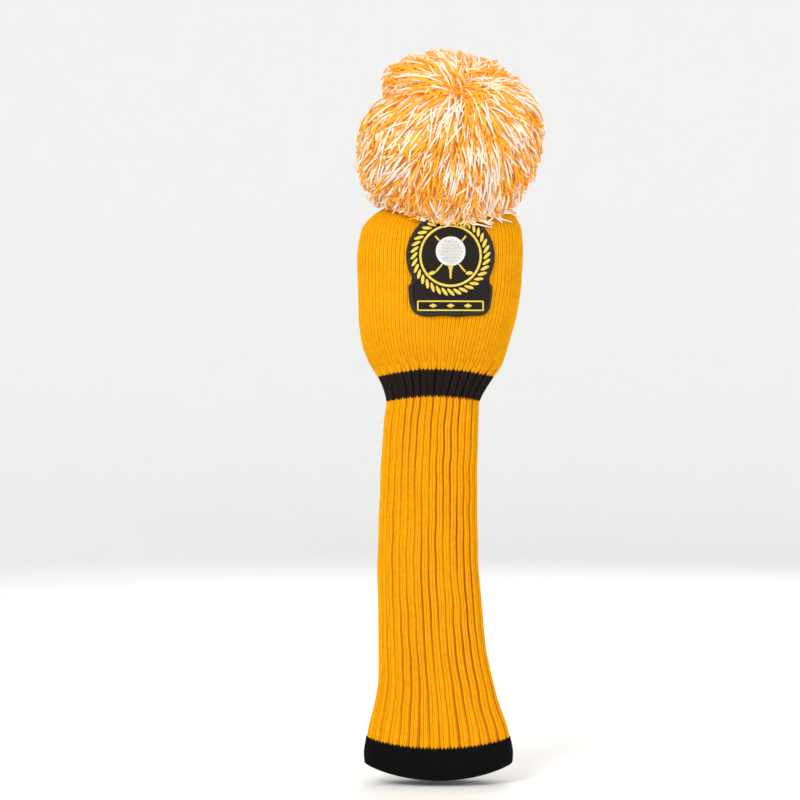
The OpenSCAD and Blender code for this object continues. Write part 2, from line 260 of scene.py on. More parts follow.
def lights():
    area_light("key", (-0.75, -1.25, 1.15), (0.7, 0.7), 15.3, (1.0, 0.985, 0.96))
    area_light("fill", (1.3, -1.2, 0.5), (1.0, 1.2), 8.8, (0.97, 0.985, 1.0))
    area_light("back", (0.3, 1.5, 1.2), (1.0, 0.8), 9.0)
    world = bpy.data.worlds.new("studio")
    bpy.context.scene.world = world
    world.use_nodes = True
    sky = world.node_tree.nodes["Background"].inputs
    sky["Color"].default_value = (1, 1, 1, 1)
    sky["Strength"].default_value = 0.80


# ---------------------------- the CAD tube's outline
RIBS = 32
ROUND = 2.25  # the section's power: 2 is an ellipse, and more is boxier
STEP = MM  # between the outline's rows, measured along the cloth
TUBE_NODES = ("hem_cuff", "sleeve_rib", "neck_band", "head_knit")


def corners(node):
    """A CAD node's triangles, as an array of shape (triangles, 3, 3)."""
    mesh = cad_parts[node].data
    mesh.calc_loop_triangles()
    points = np.empty(len(mesh.vertices) * 3, np.float32)
    mesh.vertices.foreach_get("co", points)
    index = np.empty(len(mesh.loop_triangles) * 3, np.int32)
    mesh.loop_triangles.foreach_get("vertices", index)
    return points.reshape(-1, 3)[index].reshape(-1, 3, 3).astype(float)


def section(triangles, height):
    """Where the triangles cross a height: an array of x, y."""
    hits = []
    for i in range(3):
        a, b = triangles[:, i], triangles[:, (i + 1) % 3]
        cross = (a[:, 2] - height) * (b[:, 2] - height) < 0
        a, b = a[cross], b[cross]
        f = ((height - a[:, 2]) / (b[:, 2] - a[:, 2]))[:, None]
        hits.append((a + f * (b - a))[:, :2])
    return np.concatenate(hits)


def edge_heights(node):
    """(front low, front high, side low, side high) of a ring-shaped node."""
    p = corners(node).reshape(-1, 3)
    centre = (p[:, 0].min() + p[:, 0].max()) / 2
    front = p[(np.abs(p[:, 0] - centre) < 5 * MM) & (p[:, 1] < 0), 2]
    side = p[(np.abs(p[:, 1]) < 2 * MM) & (p[:, 0] > centre), 2]
    return front.min(), front.max(), side.min(), side.max()


def smooth(values, sigma):
    """A Gaussian average along an evenly spaced list, keeping its ends and their slope."""
    reach = int(4 * sigma) + 1
    kernel = np.exp(-0.5 * (np.arange(-reach, reach + 1) / sigma) ** 2)
    before = 2 * values[0] - values[reach:0:-1]
    after = 2 * values[-1] - values[-2 : -reach - 2 : -1]
    return np.convolve(np.concatenate([before, values, after]), kernel / kernel.sum(), "valid")


def read_outline():
    """The tube's half width, half depth, middle, side lift and height, evenly spaced along the cloth."""
    triangles = np.concatenate([corners(n) for n in TUBE_NODES])
    hem, band, head = edge_heights("hem_cuff"), edge_heights("neck_band"), edge_heights("head_knit")
    crown = head[1]
    level = (0.35 * band[0], 0.6 * band[0])  # the sleeve's courses lie level between these heights
    grip = 0.05 * MM  # a section this far inside an end still meets the solid
    heights = [0.0, hem[1], *level, band[0], band[1], crown - 20 * MM, crown]
    lifts = [hem[2], hem[3] - hem[1], 0, 0, band[2] - band[0], band[3] - band[1], 0, 0]
    dome = 8 * MM
    z = np.concatenate([
        np.arange(0.0, crown - dome, MM),
        crown - dome * (1 - np.sin(np.linspace(0, np.pi / 2, 40))) ** 1.3,
    ])
    z[-1] = crown
    lift = np.interp(z, heights, lifts)
    rows = []
    for zi, li in zip(z, lift):
        side = section(triangles, min(max(zi + li, hem[2] + 4 * grip), crown - grip))
        front = section(triangles, min(max(zi, 6 * grip), crown - grip))
        left, right = side[:, 0].min(), side[:, 0].max()
        rows.append(((right - left) / 2, -front[:, 1].min(), (right + left) / 2, li, zi))
    rows = np.array(rows)
    change = np.diff(rows, axis=0)
    run = np.sqrt(change[:, 4] ** 2 + (0.5 * (np.abs(change[:, 0]) + np.abs(change[:, 1]))) ** 2)
    run = np.concatenate([[0], np.cumsum(run)])
    even = np.arange(0, run[-1], STEP)
    table = [np.interp(even, run, rows[:, k]) for k in range(5)]
    even_over = (2.5, 2.5, 2.5, 7.0, 2.5)  # the sigma for each column, in rows
    table = [smooth(values, sigma) for values, sigma in zip(table, even_over)]
    marks = {"hem": hem[1], "band_low": band[0], "band_high": band[1]}
    return table, {k: float(np.interp(v, z, run)) for k, v in marks.items()}


(HALF_W, HALF_D, CENTRE, LIFT, HEIGHT), MARK = read_outline()
CLOTH = (len(HEIGHT) - 1) * STEP  # from the hem's fold to the crown's hole
OVAL = np.linspace(0, 2 * np.pi, 4 * 360 + 1) + np.pi / 2  # starts at the middle of the back


def power(values, p):
    return np.sign(values) * np.abs(values) ** p


def oval_points(a, b, fractions):
    """Points at fractions of the way round an oval, starting at the back."""
    x, y = a * power(np.cos(OVAL), 2 / ROUND), b * power(np.sin(OVAL), 2 / ROUND)
    run = np.concatenate([[0], np.cumsum(np.hypot(np.diff(x), np.diff(y)))])
    at = (fractions % 1.0) * run[-1]
    return np.interp(at, run, x), np.interp(at, run, y)


def waves(seed, count, longest, shortest):
    """A smooth random field: a function of x, y, z in metres, about -1 to 1."""
    rng = np.random.default_rng(seed)
    length = np.exp(rng.uniform(np.log(shortest), np.log(longest), count))
    direction = rng.normal(size=(count, 3))
    direction /= np.linalg.norm(direction, axis=1)[:, None]
    k, phase = direction * (2 * np.pi / length)[:, None], rng.uniform(0, 2 * np.pi, count)

    def field(p):
        total = np.zeros(p.shape[:-1])
        for ki, ph in zip(k, phase):
            total += np.sin(p @ ki + ph)
        return total * math.sqrt(2 / count) * 0.6

    return field


# ---------------------------- knitting
# Around the tube a rib is two knit wales and one purl wale. The purl wale is narrow where the cloth is
# ribbed, and as wide as the others on the head, where it is a knit wale too.
KNIT_COLUMNS = 4  # points across a wale
PLAIN_SHARE = 1 / 3  # of the rib taken by its purl wale, on the head
NECK_SHARE, HEM_SHARE = 0.17, 0.30
V_SLANT = 1.15  # how far a stitch's legs climb from the wale's middle to its edge, in courses
PURL_SLANT = 0.25
TUCK = 1.3 * MM  # how deep a tube's lowest courses lie under the piece below
RIB_END = 13 * MM  # the ribs open out into plain knit over this run above the neck band
FLARE = 95 * MM  # the ribs spread over this run above the hem
VALLEY, ROUNDING = 1.75 * MM, 0.35 * MM  # the depths of a rib's valley, and of its crown's own roundness
SOFT_WAVE, SIDE_WAVE = 0.45 * MM, 0.35 * MM  # the cloth's slow undulation, and the wander of its wales


def wale_columns(purl_columns):
    """For each column: its rib, its wale (0 purl, 1 and 2 knit) and how far across the wale it is."""
    one = [(0, c / purl_columns) for c in range(purl_columns)]
    one += [(w, c / KNIT_COLUMNS) for w in (1, 2) for c in range(KNIT_COLUMNS)]
    rib = np.repeat(np.arange(RIBS), len(one))
    wale = np.tile([w for w, _ in one], RIBS)
    across = np.tile([u for _, u in one], RIBS)
    return rib, wale, across


def purl_share(run):
    """The purl wale's share of a rib at a distance along the cloth."""
    opening = np.clip((run - MARK["band_high"]) / RIB_END, 0, 1) ** 0.7
    flare = np.clip(1 - (run - MARK["hem"]) / FLARE, 0, 1) ** 1.6
    ribbed = NECK_SHARE + (HEM_SHARE - NECK_SHARE) * flare
    return ribbed + (PLAIN_SHARE - ribbed) * opening


def rib_place(wale, across, share):
    """Where a column is within its rib: 0 is the middle of the purl wale."""
    knit = (1 - share) / 2
    start = np.where(wale == 0, -share / 2, np.where(wale == 1, share / 2, share / 2 + knit))
    return start + across * np.where(wale == 0, share, knit)


def cloth_base(runs, rib, wale, across):
    """Bare surface points and outward normals for every row and column."""
    rows = np.arange(len(HEIGHT))
    table = np.empty((len(rows), len(rib), 3))
    for k in rows:
        place = rib_place(wale, across, purl_share(k * STEP))
        x, y = oval_points(HALF_W[k], HALF_D[k], (rib + place) / RIBS)
        table[k, :, 0] = x + CENTRE[k]
        table[k, :, 1] = y
        table[k, :, 2] = HEIGHT[k] + LIFT[k] * (x / HALF_W[k]) ** 2
    around = np.roll(table, -1, 1) - np.roll(table, 1, 1)
    along = np.gradient(table, axis=0)
    normal = np.cross(around, along)
    normal /= np.linalg.norm(normal, axis=2)[..., None] + 1e-12
    at = np.clip(runs / STEP, 0, len(rows) - 1.001)
    k = at.astype(int)
    f = (at - k)[..., None]
    j = np.arange(len(rib))[None, :]
    points = table[k, j] * (1 - f) + table[k + 1, j] * f
    normals = normal[k, j] * (1 - f) + normal[k + 1, j] * f
    return points, normals / np.linalg.norm(normals, axis=2)[..., None]


RIB_RANDOM = np.random.default_rng(3)
RIB_WAVE = RIB_RANDOM.uniform(14, 45, RIBS + 1) * MM
RIB_PHASE = RIB_RANDOM.uniform(0, 2 * np.pi, RIBS + 1)


def ribbing(rib, place, run):
    """How far the cloth sinks between its ribs, in metres, and how ribbed it is, 0 to 1. Each valley opens
    and closes along its length in its own way."""
    valley = (rib[None, :] + (place > 0.5)) % RIBS
    open_by = 0.80 + 0.30 * np.sin(run / RIB_WAVE[valley] + RIB_PHASE[valley])
    off_valley = np.minimum(place % 1.0, 1 - place % 1.0)
    share = purl_share(run)
    edge = np.clip((off_valley - 0.25 * share) / (0.30 * share + 0.06), 0, 1)
    profile = edge * edge * (3 - 2 * edge)
    crown = 1 - ((0.5 - off_valley) / 0.5) ** 2
    ribbed = np.clip(1 - (run - MARK["band_high"]) / RIB_END, 0, 1) ** 1.4
    return -(VALLEY * (1 - profile) * open_by + ROUNDING * (1 - crown)) * ribbed, ribbed


def stitch_relief(across, course, is_purl, relief):
    """The height of the yarn within its stitch, in metres below the stitch's crown."""
    leg = np.abs(np.sin(2 * np.pi * across)) ** 0.75
    loop = np.abs(np.sin(np.pi * course))
    knit = leg * (0.38 + 0.62 * loop) - 1
    purl = 0.35 * np.abs(np.cos(np.pi * course)) - 1
    return relief * np.where(is_purl, purl, knit)


undulation = waves(11, 14, 90 * MM, 28 * MM)
wander = waves(12, 12, 60 * MM, 16 * MM)


def knit_tube(name, start, stop, course, rows, thickness, purl_columns, relief, creases=None):
    """A closed knitted tube from start to stop along the cloth. Its upper edge keeps the points of its last
    stitches, and its lower edge runs on for two courses, tucked under the piece below."""
    rib, wale, across = wale_columns(purl_columns)
    courses = max(1, round((stop - start) / course))
    pitch = (stop - start) / courses
    tucked = 2 if start > MARK["hem"] / 2 else 0
    count = (courses + tucked) * rows + 1
    v = np.arange(count) / rows - tucked
    purls = (wale == 0) & (start < MARK["band_high"] - MM)
    slant = np.where(purls, PURL_SLANT, V_SLANT * np.abs(2 * across - 1))
    fade = np.clip((CLOTH - start - v * pitch) / (6 * MM), 0, 1)[:, None]
    run = start + (v[:, None] + slant[None, :] * fade) * pitch
    run = np.clip(run, 0, CLOTH)
    points, normals = cloth_base(run, rib, wale, across)
    place = rib_place(wale[None, :], across[None, :], purl_share(run))
    sink, ribbed = ribbing(rib, place, run)
    is_purl = (wale == 0)[None, :] & (ribbed > 0.35)
    loops = stitch_relief(across[None, :], v[:, None], is_purl, relief)
    under = np.clip(-v, 0, 1)[:, None]
    edge = np.clip((v - courses + 0.34) * 3, 0, 1)[:, None]
    height = loops + sink - TUCK * under - 0.5 * MM * edge
    height = height + SOFT_WAVE * undulation(points) * np.clip((run - MARK["band_low"]) / (40 * MM), 0.35, 1)
    if creases is not None:
        height = height + creases(points)
    rng = np.random.default_rng(len(name))
    number = np.floor(v[:, None] + 0.001).astype(int) + tucked
    tones = rng.uniform(0, 1, (courses + tucked + 2, RIBS * 3 + 1))
    tone = tones[number, (rib * 3 + wale)[None, :]]
    # painted shade: depth, and so the colour, darkens in the low gaps between the stitches, more where the
    # yarn parts between wales and along a wale's middle, and down the rib valleys
    gap = np.clip(-loops / relief - 0.35, 0, 1) * 1.3
    # the yarn parts once a course between two wales, and its legs meet along a wale's middle
    hole = 0.5 + 0.5 * np.cos(2 * np.pi * v)[:, None]
    between, middle_line = across < 0.1, np.abs(across - 0.5) < 0.1
    weight = np.where(between, 0.75 + 0.55 * hole, np.where(middle_line, 0.6, 1.0))
    depth = np.clip(1 - gap * np.where(is_purl, 0.3, weight) + (sink / VALLEY) * 0.30, 0, 1)
    outer = points + normals * height[..., None]
    outer += np.cross(normals, (0, 0, 1)) * (SIDE_WAVE * wander(points) * ribbed)[..., None]
    inner_rows = np.arange(count - 1, -1, -max(1, 2 * rows))
    if inner_rows[-1] != 0:
        inner_rows = np.append(inner_rows, 0)
    inner_wave = 0.25 * MM * np.cos(2 * np.pi * place[inner_rows] * 3)
    inner = points[inner_rows] - normals[inner_rows] * (thickness + inner_wave)[..., None]
    shape = np.concatenate([outer, inner])
    # painted shade: the inside face gets a fixed middling depth, which darkens its colour
    inner_shade_and_tone = np.full(inner.shape[:2], 0.4)
    return make_mesh(
        name, shape.reshape(-1, 3), grid_faces(len(shape), len(rib), True),
        tone=np.concatenate([tone, inner_shade_and_tone]), depth=np.concatenate([depth, inner_shade_and_tone]),
    )


def head_creases(points):
    """Soft folds on the front above the neck band: two left of the middle, the nearer one deeper, and one on
    the right. Each row has a middle, a direction, a length, a width and a depth, in millimetres."""
    total = np.zeros(points.shape[:-1])
    neck = HEIGHT[int(MARK["band_high"] / STEP)]
    folds = [(-17, 10, -0.45, 1.0, 13, 4.0, -1.3)]
    folds += [(-28, 26, 0.2, 1.0, 20, 5.0, -0.5), (22, 12, 0.3, 1.0, 12, 4.0, -0.5)]
    for x, z, dx, dz, length, width, depth in folds:
        size = math.hypot(dx, dz)
        u = (points[..., 0] - x * MM) * dx / size + (points[..., 2] - neck - z * MM) * dz / size
        w = (points[..., 0] - x * MM) * dz / size - (points[..., 2] - neck - z * MM) * dx / size
        front = np.clip(-points[..., 1] / (6 * MM), 0, 1)
        total += depth * MM * front * np.exp(-((u / (length * MM)) ** 2) - (w / (width * MM)) ** 2)
    return total


# each yarn's first colour is painted shade for the gaps between stitches and the rib valleys, the second its
# own colour, the third its sheen tint
ORANGE_SHADED, ORANGE, ORANGE_LIGHT = (0.44, 0.085, 0.001), (1.0, 0.458, 0.002), (1.0, 0.5, 0.03)
BLACK_SHADED, BLACK, BLACK_LIGHT = (0.003, 0.002, 0.002), (0.021, 0.0135, 0.0115), (0.06, 0.05, 0.05)

orange_yarn = yarn_material("orange_yarn", ORANGE_SHADED, ORANGE, ORANGE_LIGHT, sheen=0.03)
black_yarn = yarn_material("black_yarn", BLACK_SHADED, BLACK, BLACK_LIGHT, sheen=0.2)
# painted shade first, then the hem yarn's own colour and its sheen tint
HEM_SHADED, HEM_BLACK, HEM_LIGHT = (0.001, 0.001, 0.001), (0.0035, 0.0030, 0.0028), (0.04, 0.04, 0.04)
hem_yarn = yarn_material("hem_yarn", HEM_SHADED, HEM_BLACK, HEM_LIGHT, sheen=0.06)

HEAD_COURSE, SLEEVE_COURSE = 1.75 * MM, 2.05 * MM  # from one row of stitches to the next
HEAD_WALL, RIB_WALL = 3.0 * MM, 3.2 * MM
HEAD_RELIEF, BAND_RELIEF, SLEEVE_RELIEF = 0.85 * MM, 0.5 * MM, 0.62 * MM  # stitch crown to gap


def knitted_body():
    low, high, top = MARK["band_low"], MARK["band_high"], CLOTH - 0.5 * MM
    head = knit_tube("knit_head", high, top, HEAD_COURSE, 3, HEAD_WALL, 4, HEAD_RELIEF, head_creases)
    dress(head, orange_yarn)
    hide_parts("head_knit")
    band = knit_tube("knit_neck_band", low, high, SLEEVE_COURSE, 4, RIB_WALL, 2, BAND_RELIEF)
    dress(band, black_yarn)
    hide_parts("neck_band")
    sleeve = knit_tube("knit_sleeve", MARK["hem"], low, SLEEVE_COURSE, 3, RIB_WALL, 2, SLEEVE_RELIEF)
    dress(sleeve, orange_yarn)
    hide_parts("sleeve_rib")
    for piece in (head, band, sleeve):
        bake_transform(piece)


def hem():
    """The turned hem: fine plain knit, doubled, with a soft rolled edge at the mouth and at its top."""
    rib, wale, across = wale_columns(6)
    half = 2.1 * MM  # of the doubled cloth's thickness at the mouth
    lip = 0.55 * MM  # half the thickness of its top edge, where it meets the sleeve
    top = MARK["hem"] - 0.9 * MM
    teeth = 1.9 * MM  # how far its top stitches' legs climb into the sleeve
    out_run = np.arange(half, top, 0.45 * MM)
    roll = np.radians(np.arange(15, 180, 15))
    rows = [(r, 0.0, 1.0) for r in out_run]
    rows += [(top + lip * math.sin(a), -lip * (1 - math.cos(a)), 0.3) for a in roll[::2]]
    back = np.arange(top, half, -0.9 * MM)
    rows += [(r, -2 * (lip + (half - lip) * min(1, (top - r) / (6 * MM))), 0.4) for r in back]
    rows += [(half - half * math.sin(a), -half * (1 + math.cos(a)), 0.0) for a in roll]
    run, off, fine = (np.array(c)[:, None] for c in zip(*rows))
    climb = np.clip((run - top + 5 * MM) / (5 * MM), 0, 1) * teeth
    runs = run + climb * np.abs(2 * across - 1)[None, :]
    points, normals = cloth_base(runs, rib, wale, across)
    narrow = np.abs(np.sin(2 * np.pi * across))[None, :]
    course = np.abs(np.sin(np.pi * run / (1.35 * MM)))
    relief = 0.17 * MM * (narrow ** 0.7 - 1) * (0.6 + 0.4 * course)
    fuzz = waves(31, 20, 3.0 * MM, 1.0 * MM)
    place = rib_place(wale[None, :], across[None, :], purl_share(runs))
    ghost = 0.12 * MM * np.cos(2 * np.pi * place) * -np.clip(run / top, 0, 1) ** 3
    height = off + fine * (relief + ghost) + 0.35 * MM * undulation(points) + 0.05 * MM * fuzz(points)
    shape = points + normals * (height + 0.35 * MM)[..., None]
    # painted shade: the colour darkens in the low gaps between the stitches
    depth = np.clip(0.75 + relief / (0.3 * MM), 0, 1) * np.ones_like(runs)
    tone = np.clip(0.5 + 0.25 * fuzz(points), 0, 1)
    piece = make_mesh(
        "knit_hem", shape.reshape(-1, 3), grid_faces(len(rows), len(rib), True), depth=depth, tone=tone
    )
    dress(piece, hem_yarn)
    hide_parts("hem_cuff")
    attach(piece, "sleeve")


def unit(v):
    return v / (np.linalg.norm(v, axis=-1, keepdims=True) + 1e-12)


def tubes(name, p, width, tone, depth, flat):
    """Closed four-sided tubes along paths p, of shape (count, rings, 3). flat is a direction across each
    tube. The UVs run round and along each, in turns and in millimetres."""
    count, rings = p.shape[:2]
    along = unit(np.gradient(p, axis=1))
    one = unit(flat - along * (along * flat).sum(-1, keepdims=True))
    two = np.cross(along, one)
    fat = np.ones(rings)
    fat[0], fat[-2], fat[-1] = 0.8, 1.08, 0.72
    turn = np.radians((45, 135, 225, 315))[:, None]
    off = one[:, :, None] * np.cos(turn) + two[:, :, None] * np.sin(turn)
    points = p[:, :, None] + off * (width[:, None] * fat / 2)[..., None, None]
    ring = np.arange(4)
    k = np.arange(rings - 1)[:, None]
    walls = np.stack([k * 4 + ring, k * 4 + (ring + 1) % 4, k * 4 + 4 + (ring + 1) % 4, k * 4 + 4 + ring], -1)
    one_tube = np.concatenate([[[3, 2, 1, 0]], walls.reshape(-1, 4), [(rings - 1) * 4 + ring]])
    faces = (np.arange(count)[:, None, None] * rings * 4 + one_tube).reshape(-1, 4)
    round_it = np.ones((1, 1, 4))
    piece = make_mesh(
        name, points.reshape(-1, 3), faces,
        depth=depth[..., None] * round_it, tone=tone[:, None, None] * np.ones((1, rings, 4)),
    )
    run = np.linalg.norm(np.diff(p, axis=1), axis=-1).cumsum(1) / MM
    run = np.concatenate([np.zeros((count, 1)), run], 1)
    cap = np.full((1, 4), 0.5)
    turns = np.stack([ring, ring + 1, ring + 1, ring], -1) / 4
    u = np.concatenate([cap, np.tile(turns, (rings - 1, 1)), cap])
    low_run = np.concatenate([run[:, :1], np.repeat(run[:, :-1], 4, 1), run[:, -1:]], 1)
    high_run = np.concatenate([run[:, :1], np.repeat(run[:, 1:], 4, 1), run[:, -1:]], 1)
    v = np.stack([low_run, low_run, high_run, high_run], -1)
    uv = np.stack([np.broadcast_to(u, v.shape), v], -1)
    piece.data.uv_layers.new(name="yarn").data.foreach_set("uv", uv.astype(np.float32).ravel())
    return piece


# ---------------------------- the patch
# A black twill patch with a bound edge, and its motif embroidered thread by thread.
ring_low, ring_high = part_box("patch_ring")
twill_low, twill_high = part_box("patch_twill")
PATCH = np.array(((ring_low.x + ring_high.x) / 2, (ring_low.z + ring_high.z) / 2))  # its round part's middle
PATCH_R = twill_high.z - PATCH[1]  # its round part's radius
UNIT = PATCH_R / 30  # the motif is drawn on a patch 60 units wide
TWILL_TOP = 1.9 * MM  # the twill's face above the knit's outline
FOOT_HALF, FOOT_DROP, FOOT_TOP, BAR_AT = 28.5, 41.1, 19.8, -34.3
RING_AT, ROPE_AT, BALL_RADIUS, BALL_AT = 20.7, 25.2, 9.6, np.array((0.0, 3.0))
THREAD = 0.40  # thread pitch, in units


def front(flat, off):
    """Patch units and a height over the knit, to points on the head's front."""
    x, z = PATCH[0] + flat[..., 0] * UNIT, PATCH[1] + flat[..., 1] * UNIT
    a, c, lift = (np.interp(z, HEIGHT, t) for t in (HALF_W, CENTRE, LIFT))
    u = np.clip(np.abs(x - c) / a, 0, 0.97)
    level = z - lift * u * u
    a, b, c = (np.interp(level, HEIGHT, t) for t in (HALF_W, HALF_D, CENTRE))
    u = np.clip(np.abs(x - c) / a, 0, 0.97)
    return np.stack([x, -b * (1 - u ** ROUND) ** (1 / ROUND) - off, z], -1)


def polar(r, degrees):
    a = np.radians(degrees)
    return np.stack([r * np.cos(a), r * np.sin(a)], -1)


def patch_edge(degrees):
    """The patch's outline: a disc over a round-cornered foot whose lower edge waves a little."""
    c, s = np.abs(np.cos(np.radians(degrees))), np.sin(np.radians(degrees))
    foot = ((c / FOOT_HALF) ** 7 + (np.abs(s) / FOOT_DROP) ** 7) ** (-1 / 7)
    r = np.where(foot * s < -FOOT_TOP, np.maximum(foot, 30), 30.0)
    r = np.convolve(np.concatenate([r[-4:], r, r[:4]]), np.ones(9) / 9, "valid")
    return r + 0.35 * np.cos(np.radians(degrees) * 13) * np.clip(-s, 0, 1) ** 3


def twill_base():
    around = np.arange(0, 360, 1.25)
    edge = patch_edge(around)
    fractions = np.concatenate([np.linspace(0.01, 0.9, 16), [0.94, 0.97]])
    top = [(f, 0.0, TWILL_TOP) for f in fractions]
    roll = np.radians(np.arange(0, 181, 30))
    side = [(1.0, 0.85 * math.sin(a) - 0.8, TWILL_TOP / 2 * (1 + math.cos(a)) + 0.15 * MM) for a in roll]
    under = [(f, 0.0, 0.15 * MM) for f in (0.9, 0.5, 0.01)]
    rows = []
    puff = waves(71, 12, 30.0, 9.0)
    for f, out, off in top + side + under:
        flat = polar(edge * f + out, around)
        here = np.stack([flat[:, 0], flat[:, 1], np.zeros(len(flat))], -1)
        rows.append(front(flat, off + (0.10 * MM * puff(here) if off > MM else 0)))
    points = np.stack(rows)
    faces = grid_faces(len(rows), len(around), True)[:, ::-1]
    piece = make_mesh("patch_twill_cloth", points.reshape(-1, 3), faces)
    dress(piece, twill_material())
    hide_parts("patch_twill", "patch_backing")
    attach(piece, "head")


def twill_material():
    n = Nodes("black_twill_cloth")
    wave = n.add("TexWave", wave_type="BANDS", bands_direction="DIAGONAL")
    for key, value in {"Scale": 260.0, "Distortion": 0.6, "Detail": 1.0, "Detail Scale": 3.0}.items():
        wave.inputs[key].default_value = value
    n.link(n.place(), wave.inputs["Vector"])
    ribs = wave.outputs["Fac"]
    fibres = n.noise(2600.0, 3.0)
    body = n.ramp(ribs, (0.006, 0.004, 0.003), (0.017, 0.012, 0.009))
    body = n.shade(body, fibres, 0.75, 1.25, 1.0, 0.3, 0.7)
    height = n.math("ADD", ribs, n.math("MULTIPLY", fibres, 0.4))
    return n.finish(body, height, 0.5, 0.25 * MM, 0.8, 0.12, (0.25, 0.2, 0.17), 0.2)


def satin(path, half, slant=0.35, closed=False):
    """Threads laid across a line: from side to side of each place on it, slanting a little."""
    path = np.asarray(path, float)
    if closed:
        path = np.concatenate([path, path[:1]])
    run = np.concatenate([[0], np.cumsum(np.linalg.norm(np.diff(path, axis=0), axis=1))])
    at = np.arange(THREAD / 2, run[-1], THREAD)
    x, z = np.interp(at, run, path[:, 0]), np.interp(at, run, path[:, 1])
    ends = [[np.interp(at + step, run, path[:, k]) for k in (0, 1)] for step in (0.1, -0.1)]
    ahead = unit(np.stack([p - q for p, q in zip(*ends)], -1))
    width = np.interp(at / run[-1], np.linspace(0, 1, len(half)), half)[:, None]
    side = np.stack([-ahead[:, 1], ahead[:, 0]], -1) + slant * ahead
    middle_of = np.stack([x, z], -1)
    return np.stack([middle_of - side * width, middle_of + side * width], 1)


def leaf(p, q, width):
    """Threads of one lens-shaped satin stitch from p to q."""
    p, q = np.asarray(p, float), np.asarray(q, float)
    return satin(np.linspace(p, q, 5), width / 2 * np.array((0.25, 0.85, 1, 0.85, 0.25)), 0.5)


def fill(radius, stitch=4.2):
    """Level rows of threads across a disc, laid like bricks."""
    found = []
    for row, z in enumerate(np.arange(THREAD / 2 - radius, radius, THREAD)):
        half = math.sqrt(max(0.0, radius * radius - z * z))
        if half < 0.3:
            continue
        cuts = np.arange(-half - stitch * (row % 3) / 3, half, stitch)
        cuts = np.concatenate([[-half], cuts[cuts > -half + 1], [half]])
        found += [((a, z), (b, z + 0.05)) for a, b in zip(cuts[:-1], cuts[1:])]
    return np.array(found)


def embroider(name, threads, material, rise=0.75, base=0.0, replaces=()):
    """Thread tubes that come up out of the twill, arch over, and go down again."""
    f = np.array((0.0, 0.1, 0.35, 0.65, 0.9, 1.0))[None, :, None]
    flat = threads[:, :1] * (1 - f) + threads[:, 1:] * f
    arch = np.array((-0.45, 0.35, 0.92, 1.0, 0.42, -0.45))
    rng = np.random.default_rng(len(threads))
    lift = rise * rng.uniform(0.9, 1.08, len(threads))[:, None] * arch + base
    p = front(flat, TWILL_TOP + lift * UNIT)
    count = len(threads)
    # painted shade: depth follows the arch, so each thread's ends, where it dives into the twill, take the
    # shaded colour
    piece = tubes(
        name, p, np.full(count, 0.50 * UNIT), rng.random(count), np.clip(arch, 0, 1) * np.ones((count, 1)),
        np.broadcast_to((0.0, 1.0, 0.0), (count, 1, 3)),
    )
    dress(piece, material)
    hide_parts(*replaces)
    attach(piece, "head")


def thread_material(name, shaded, middle, light, roughness=0.42):
    """Smooth embroidery thread with a soft gloss, and painted shade: darker where it dives into the cloth."""
    n = Nodes(name)
    body = n.ramp(n.attribute("depth"), shaded, middle, 0.0, 0.7)
    body = n.shade(body, n.attribute("tone"), 0.88, 1.08)
    fibres = n.noise(5200.0, 2.0)
    body = n.shade(body, fibres, 0.9, 1.08, 0.8, 0.3, 0.7)
    return n.finish(body, fibres, 0.35, 0.1 * MM, roughness, 0.1, light, 0.45)


